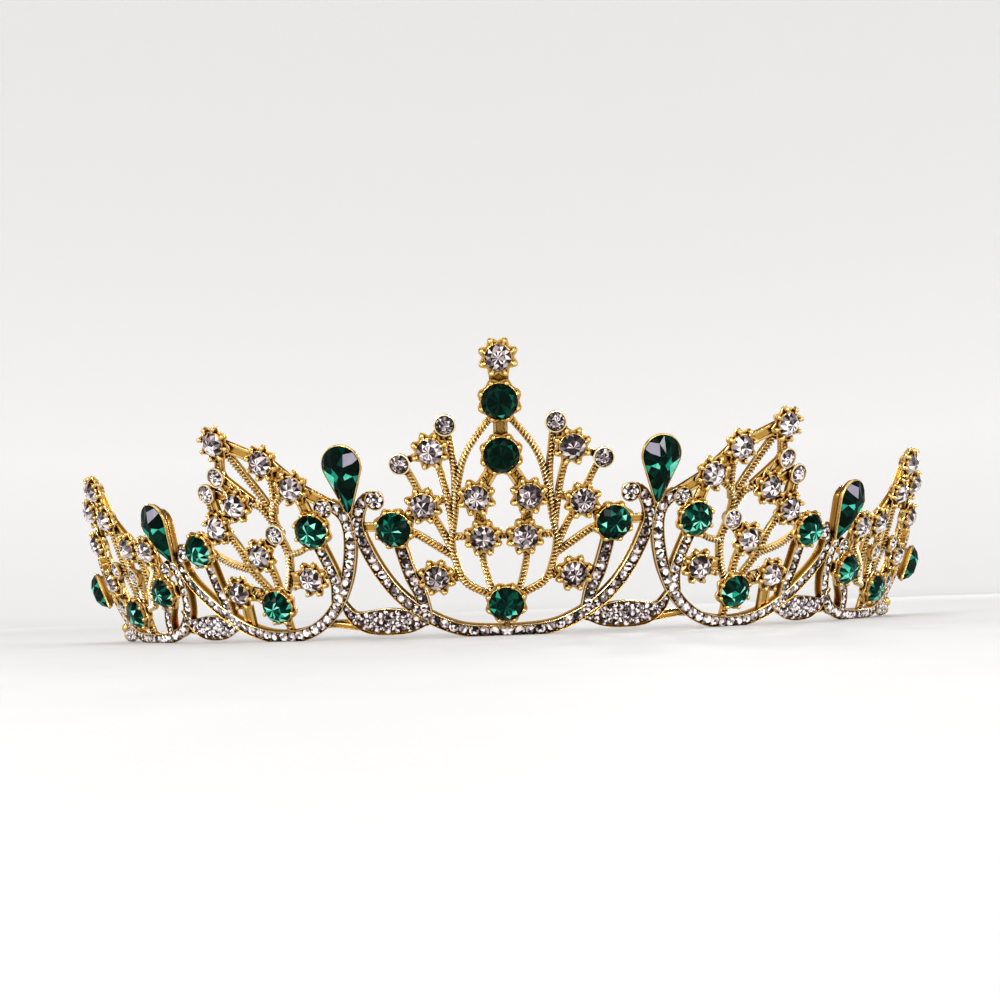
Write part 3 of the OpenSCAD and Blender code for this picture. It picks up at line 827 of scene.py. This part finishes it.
class CROWN_OT_rims(bpy.types.Operator):
    """Makes the pave rims and branches, with their stones"""
    bl_idname = "crown.rims"
    bl_label = "Rims"

    def execute(self, context):
        metal = context.scene.crown_metal
        width, face = metal.rim_width / MM, metal.rim_thickness / MM / 2
        wall, bands, stones = Wall(), Form(), Form()
        chance = random.Random("rims")
        bud = metal.bud_diameter / MM / 2
        for panel, points in RIMS:
            path = smooth(points, 0.8)
            bands.add(wall.sweep(panel, round_ends(path, width / 2), channel(width, -face, face),
                                 RIM_SHADES))
            margins = [bud if (panel, *end) in BUDS else 0 for end in (points[0], points[-1])]
            pave_row(stones, wall, panel, path, margins, face - 0.4, chance, bands)
        for panel, x, y in BUDS:
            seat = wall.seat(panel, x, y)
            # The bud's shades paint shade at its foot and on its floor between the stones.
            bands.add(lathe([(bud * 0.7, -face), (bud, face - 0.02), (bud - 0.07, face + 0.05),
                             (bud - 0.17, face + 0.05), (bud - 0.21, face - 0.02),
                             (bud - 0.24, face - 0.4)], 28, shades=[0.6, 1, 1, 0.8, 0]), seat)
            size = (bud - 0.2) / 3
            for k in range(7):
                a = math.radians(60 * k)
                reach = 2 * size if k else 0
                spot = Matrix.Translation((reach * math.cos(a), reach * math.sin(a), 0))
                # 0.05 is painted light added to the buds' stones.
                stones.add(small_cut(size * 0.96, face - 0.38, face + 0.06, chance, 0.05), seat @ spot)
        bands.mirror()
        stones.mirror()
        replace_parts(bands.piece("rims", "gold", 35), "gold_frame")
        stones.piece("rim_pave", "crystal")
        return {"FINISHED"}


class CROWN_OT_ropes(bpy.types.Operator):
    """Makes the roped wires that carry the stones"""
    bl_idname = "crown.ropes"
    bl_label = "Ropes"

    def execute(self, context):
        metal = context.scene.crown_metal
        diameter, pitch = metal.rope_diameter / MM, metal.rope_pitch / MM
        twist, shades = strands(diameter, pitch)
        backing = flat_bar(diameter * 0.92, -diameter * 0.62, -0.1)
        wall = Wall()
        for panel, ropes in ROPES.items():
            form = Form()
            for points in ropes:
                form.add(wall.sweep(panel, smooth(points, pitch / 8), twist, shades))
                form.add(wall.sweep(panel, smooth(points, 1.2), backing))
            form.mirror()
            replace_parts(form.piece(f"{panel}_ropes", "gold", 50), "gold_frame")
        return {"FINISHED"}


class CROWN_OT_webs(bpy.types.Operator):
    """Makes the flat webs that join neighbouring cups and rims"""
    bl_idname = "crown.webs"
    bl_label = "Webs"

    def execute(self, context):
        wall = Wall()
        low, high = -0.7, 0.35
        for panel, webs in WEBS.items():
            form = Form()
            for x0, y0, x1, y1, width in webs:
                form.add(wall.sweep(panel, smooth([(x0, y0), (x1, y1)], 1.0),
                                    channel(width, low, high, width * 0.24, 0.3), WEB_SHADES))
            form.mirror()
            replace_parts(form.piece(f"{panel}_webs", "gold", 40), "gold_frame")
        return {"FINISHED"}


class CROWN_OT_cups(bpy.types.Operator):
    """Makes the claw cups and plain collars of the round stones"""
    bl_idname = "crown.cups"
    bl_label = "Cups"

    def execute(self, context):
        wall = Wall()
        for panel in wall.panels:
            form = Form()
            pairs = [(x, y, node.split("_")[1]) for node, x, y in PAIRS if node.startswith(panel)]
            for x, y, kind in pairs + field(panel):
                form.add(cup(kind), wall.seat(panel, x, y))
            form.mirror()
            if panel == "front":
                for node, x, y in FRONT_MIDDLE:
                    form.add(cup(node.split("_")[1]), wall.seat(panel, x, y))
            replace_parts(form.piece(f"{panel}_cups", "gold", 40), "gold_frame")
        return {"FINISHED"}


def cup(kind):
    """Setting of one round stone, as one part."""
    diameter, under, girdle, _top = stone_sizes(kind)
    radius, foot = diameter / 2, -0.85
    # The shades paint shade low on each cup and inside its collar, and a painted highlight on the small
    # collars' lips.
    if kind == "small":
        return lathe([(radius * 0.75, foot), (radius * 0.9, 0.0), (radius + 0.3, 0.6),
                      (radius + 0.44, girdle - 0.15), (radius + 0.4, girdle + 0.04),
                      (radius + 0.16, girdle + 0.12), (radius + 0.04, girdle - 0.02),
                      (radius + 0.02, under), (0.2, under - 0.04)], 24,
                     shades=[0.5, 0.6, 0.8, 1.1, 1.4, 1.4, 0.6, 0.3])
    form = Form()
    claws = 8
    reach = radius + (1.2 if kind == "clear" else 0.65)
    thick = bpy.context.scene.crown_metal.claw_diameter / MM / 2
    form.add(lathe([(radius * 0.62, foot), (radius * 0.7, foot + 0.25), (radius * 0.86, 0.1),
                    (radius + 0.06, under - 0.3), (radius + 0.16, under + 0.1),
                    (radius + 0.16, girdle - 0.1), (radius + 0.05, girdle - 0.04),
                    (radius + 0.03, under), (0.3, under - 0.05)], 24,
                   shades=[0.5, 0.6, 0.7, 0.8, 1, 0.9, 0.5, 0.2]))
    spread = (reach - radius) * 0.27

    def petals(angle, r):
        return 1 + (spread if r > radius else 0.02) * abs(math.sin(angle * claws / 2)) ** 1.5
    edge, rise = radius + (reach - radius) * 0.42, under - 0.1
    form.add(lathe([(radius * 0.8, rise - 0.9), (radius + 0.08, rise - 0.65), (edge - 0.04, rise - 0.26),
                    (edge, rise - 0.14), (edge - 0.1, rise), (radius * 0.9, rise + 0.04)], 48, petals,
                   [0.6, 0.75, 1, 1, 1]))
    profile = [(radius * 0.85, -0.15), (reach - 0.5, 0.4), (reach - 0.36, girdle - 0.4),
               (reach - 0.46, girdle)]
    tip, height = profile[-1]
    for a in turns(claws, 0.5):
        c, s = math.cos(a), math.sin(a)
        form.add(wire([(r * c, r * s, z) for r, z in profile],
                      [thick * 1.9, thick * 1.7, thick * 1.5, thick * 1.3]))
        form.add(ball((tip * c, tip * s, height), thick * 1.7, 8, 6))
        form.add(wire([(r * c, r * s, z) for r, z in ((tip, height), (radius - 0.02, girdle + 0.2))],
                      [thick * 1.3, thick * 0.8]))
    return form.points, form.faces, form.tones


class CROWN_OT_pear_settings(bpy.types.Operator):
    """Makes the slim walls that hold the pears"""
    bl_idname = "crown.pear_settings"
    bl_label = "Pear settings"

    def execute(self, context):
        wall, form = Wall(), Form()
        count = 48
        centre = -context.scene.crown_stones.pear_length / MM * 0.2
        # Growth over the pear's outline, share of it and height, from the back round to the seat
        layers = [(0, 0.72, -0.6), (0, 0.76, -0.5), (0, 0.78, 0.0), (0.02, 0.84, 0.6), (0.1, 0.94, 1.2),
                  (0.34, 1, 1.72), (0.36, 1, 1.95), (0.26, 1, 2.14), (0.14, 1, 2.18), (0.08, 1, 2.08),
                  (0.05, 1, 1.1)]
        # Painted shade on the setting's walls and inside its seat, and the full tone on its top edge.
        shades = [0.7, 0.6, 0.5, 0.5, 0.6, 0.9, 1, 1, 0.8, 0.3]
        points = [(x * share, centre + (y - centre) * share, z) for grow, share, z in layers
                  for x, y in pear_line(grow, count)]
        tones = [shade for shade in shades for _ in range(count)] + [0.6, 0.3]
        for panel, _node, x, y, lean in PEARS:
            form.add((points, capped(len(layers), count), tones), wall.seat(panel, x, y, lean))
        form.mirror()
        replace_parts(form.piece("pear_settings", "gold", 40), "gold_frame")
        return {"FINISHED"}


class CROWN_OT_leaves(bpy.types.Operator):
    """Makes the pave leaves, the end stems with their balls, and the links behind the leaves"""
    bl_idname = "crown.leaves"
    bl_label = "Leaves and stems"

    def execute(self, context):
        metal = context.scene.crown_metal
        thick = metal.rim_thickness / MM
        wall, form, stones = Wall(), Form(), Form()
        chance = random.Random("leaves")
        self.pave_band(form, stones, wall, "outer", STEM, metal.stem_width / MM, -thick / 2, chance)
        for panel, points in LEAVES:
            self.pave_band(form, stones, wall, panel, points, metal.leaf_width / MM, -thick / 4, chance)
        for x, y in BALLS:
            form.add(ball((0, 0, 0), metal.ball_diameter / MM / 2, 20, 12), wall.seat("outer", x, y))
        radius = wall.ring + LINK_Y * math.sin(wall.flare)
        for start, end in LINKS:
            path = [(math.radians(start + (end - start) * k / 12) * radius, LINK_Y, 1.0)
                    for k in range(13)]
            form.add(wall.sweep("front", path, flat_bar(LINK_WIDTH, -thick / 2 - LINK_HALF,
                                                        -thick / 2 + LINK_HALF)))
        form.mirror()
        stones.mirror()
        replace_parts(form.piece("leaves_and_stems", "gold", 40), "gold_frame")
        stones.piece("leaf_pave", "crystal")
        return {"FINISHED"}

    def pave_band(self, form, stones, wall, panel, points, width, low, chance):
        """A band with a varying width, filled with pave from lip to lip."""
        high = bpy.context.scene.crown_metal.rim_thickness / MM / 2
        size = bpy.context.scene.crown_stones.pave_diameter / MM * LEAF_PAVE
        path = smooth(points, 0.6)
        form.add(wall.sweep(panel, round_ends(path, width * 0.15), channel(width, low, high), RIM_SHADES))
        distance, column = size * 0.4, 0
        while distance < travelled(path)[-1] - size * 0.2:
            x, y, share, heading = along(path, distance)
            room = width * share - 2 * LIP
            most = max(1, round(room / size))
            count = most - column % 2 if most > 2 else most
            pitch = room / most
            diameter = min(size * 1.1, pitch)
            for k in range(count):
                offset = pitch * (k - (count - 1) / 2)
                place = x - math.sin(heading) * offset, y + math.cos(heading) * offset
                stones.add(small_cut(diameter / 2, high - 0.44, high, chance, PAVE_LIGHT[panel]),
                           wall.seat(panel, *place) @ Matrix.Rotation(heading, 4, "Z"))
            distance += diameter * (0.88 if most > 2 else 1)
            column += 1


class CROWN_OT_round_stones(bpy.types.Operator):
    """Makes the round stones, each in place of its plain one"""
    bl_idname = "crown.round_stones"
    bl_label = "Round stones"

    def execute(self, context):
        wall = Wall()
        for node, x, y in FRONT_MIDDLE:
            self.stone(node, "front", [(wall.seat("front", x, y), node.split("_")[1])])
        for end in ENDS:
            for node, x, y in PAIRS:
                panel, kind, _place = node.split("_")
                self.stone(f"{node}_{end}", panel, [(wall.seat(panel, x, y, end=end), kind)])
            for panel in FIELDS:
                self.stone(f"{panel}_stones_{end}", panel,
                           [(wall.seat(panel, x, y, end=end), kind) for x, y, kind in field(panel)])
        return {"FINISHED"}

    def stone(self, node, panel, rows):
        """One piece with the stones of one node."""
        form, chance = Form(), random.Random(node)
        slot, tones, rays, limit, light = ("crystal", CRYSTAL_TONES, CRYSTAL_RAYS, CLEAR_LIMIT[panel],
                                           CLEAR_LIGHT[panel])
        table, waist = 0.58, 0.82
        if rows[0][1] == "green":
            slot, tones, rays, limit, light = ("emerald", EMERALD_TONES, EMERALD_RAYS, GREEN_LIMIT,
                                               GREEN_LIGHT[panel])
        if node in DEEP_STONES:
            tones, rays, table, waist = DEEP_TONES, DEEP_RAYS, 0.7, 0.87
        sides = 10 if slot == "emerald" or panel == "front" else 8
        for matrix, kind in rows:
            diameter, *heights = stone_sizes(kind)
            outline = round_outline(diameter / 2, chance.uniform(0, math.pi / 4))
            # The facets' tones: random, with painted light.
            tone = tone_with_painted_light(chance, tones, diameter / 2, light)
            form.add(brilliant(outline, heights, table, waist, sides, tone, rays, limit), matrix)
        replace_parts(form.piece(f"{node}_cut", slot), node)


class CROWN_OT_pears(bpy.types.Operator):
    """Makes the pears, each in place of its plain one"""
    bl_idname = "crown.pears"
    bl_label = "Pears"

    def execute(self, context):
        wall = Wall()
        sides, heights, table, waist = 10, (1.12, 2.32, 3.92), 0.42, 0.8
        fine = pear_line(0, 4 * sides)
        centre = (0, -context.scene.crown_stones.pear_length / MM * 0.13)

        def outline(u, share):
            x, y = fine[round(u * len(fine)) % len(fine)]
            return centre[0] + (x - centre[0]) * share, centre[1] + (y - centre[1]) * share
        for end in ENDS:
            for panel, node, x, y, lean in PEARS:
                name = f"{node}_{end}"
                form = Form()
                # The pear's facets: dark, with painted reflections.
                form.add(brilliant(outline, heights, table, waist, sides,
                                   pear_tone_with_painted_reflections(random.Random(name))), wall.seat(panel, x, y, lean, end))
                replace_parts(form.piece(f"{name}_cut", "emerald"), name)
        return {"FINISHED"}


class CROWN_OT_stage(bpy.types.Operator):
    """Makes the floor, the lights and the camera"""
    bl_idname = "crown.stage"
    bl_label = "Stage"

    def execute(self, context):
        stage = context.scene.crown_stage
        context.scene.view_settings.view_transform = "Standard"
        self.floor()
        self.light("sky", (0, -0.1, 1.7), 2.2, stage.sky_power)
        self.light("key", (-0.45, -0.6, 0.5), 0.3, stage.key_power)
        self.light("fill", (0.6, -0.5, 0.35), 0.3, stage.key_power * 0.5)
        for k, place in enumerate(GLINTS):
            self.light(f"glint_{k + 1}", place, 0.04, stage.glint_power)
        world = context.scene.world or bpy.data.worlds.new("studio")
        context.scene.world = world
        world.use_nodes = True
        background = world.node_tree.nodes["Background"].inputs
        background["Color"].default_value = (0.85, 0.87, 0.9, 1)
        background["Strength"].default_value = 0.12
        camera = new_object("camera", bpy.data.cameras.new("camera"))
        camera.data.sensor_width = 36
        camera.data.lens = stage.lens
        camera.data.clip_start = 0.005
        camera.matrix_world = (Matrix.Translation((stage.side, -stage.distance, stage.height))
                               @ Matrix.Rotation(math.pi / 2 + stage.pitch, 4, "X")
                               @ Matrix.Rotation(stage.roll, 4, "Z"))
        context.scene.camera = camera
        return {"FINISHED"}

    def floor(self):
        """A round floor that curves up into a wide bowl all about."""
        flat, bend = 0.9, 2.3
        angles = [math.radians(8 * k) for k in range(12)]
        profile = [(0.001, 0), (0.5, 0)]
        profile += [(flat + bend * math.sin(a), bend * (1 - math.cos(a))) for a in angles]
        points, faces, _tones = lathe(profile, 96)
        mesh = bpy.data.meshes.new("floor")
        mesh.from_pydata([(x, y, z - 0.00005) for x, y, z in points], [],
                         [face[::-1] for face in faces[:-1]])
        mesh.polygons.foreach_set("use_smooth", [True] * len(mesh.polygons))
        mesh.materials.append(finish_of("floor"))
        floor = new_object("floor", mesh)

    def light(self, name, place, size, power):
        data = bpy.data.lights.new(name, "AREA")
        data.size = size
        data.energy = power
        light = new_object(name, data)
        light.location = place
        aim = Vector((0, 0.02, 0.02)) - Vector(place)
        light.rotation_euler = aim.to_track_quat("-Z", "Y").to_euler()
        light.visible_camera = False


class CROWN_PT_panel(bpy.types.Panel):
    """Lists the steps that dress the crown, with their sizes"""
    bl_idname = "CROWN_PT_panel"
    bl_label = "Bridal Crown"
    bl_space_type = "VIEW_3D"
    bl_region_type = "UI"
    bl_category = "Crown"

    def draw(self, context):
        for step in STEPS:
            self.layout.operator(step.bl_idname)
        for group in GROUPS:
            sizes = getattr(context.scene, group)
            for name in sizes.__annotations__:
                self.layout.prop(sizes, name)


GROUPS = {"crown_shape": CrownShape, "crown_metal": CrownMetal, "crown_stones": CrownStones,
          "crown_stage": CrownStage}
STEPS = (CROWN_OT_stage, CROWN_OT_rims, CROWN_OT_ropes, CROWN_OT_webs, CROWN_OT_cups,
         CROWN_OT_pear_settings, CROWN_OT_leaves, CROWN_OT_round_stones, CROWN_OT_pears)


def register():
    for name, group in GROUPS.items():
        bpy.utils.register_class(group)
        setattr(bpy.types.Scene, name, bpy.props.PointerProperty(type=group))
    for step in (*STEPS, CROWN_PT_panel):
        bpy.utils.register_class(step)


def unregister():
    for step in reversed((*STEPS, CROWN_PT_panel)):
        bpy.utils.unregister_class(step)
    for name, group in reversed(GROUPS.items()):
        delattr(bpy.types.Scene, name)
        bpy.utils.unregister_class(group)


def main():
    register()
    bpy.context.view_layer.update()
    for step in STEPS:
        group, name = step.bl_idname.split(".")
        getattr(getattr(bpy.ops, group), name)()


if __name__ == "__main__":
    main()
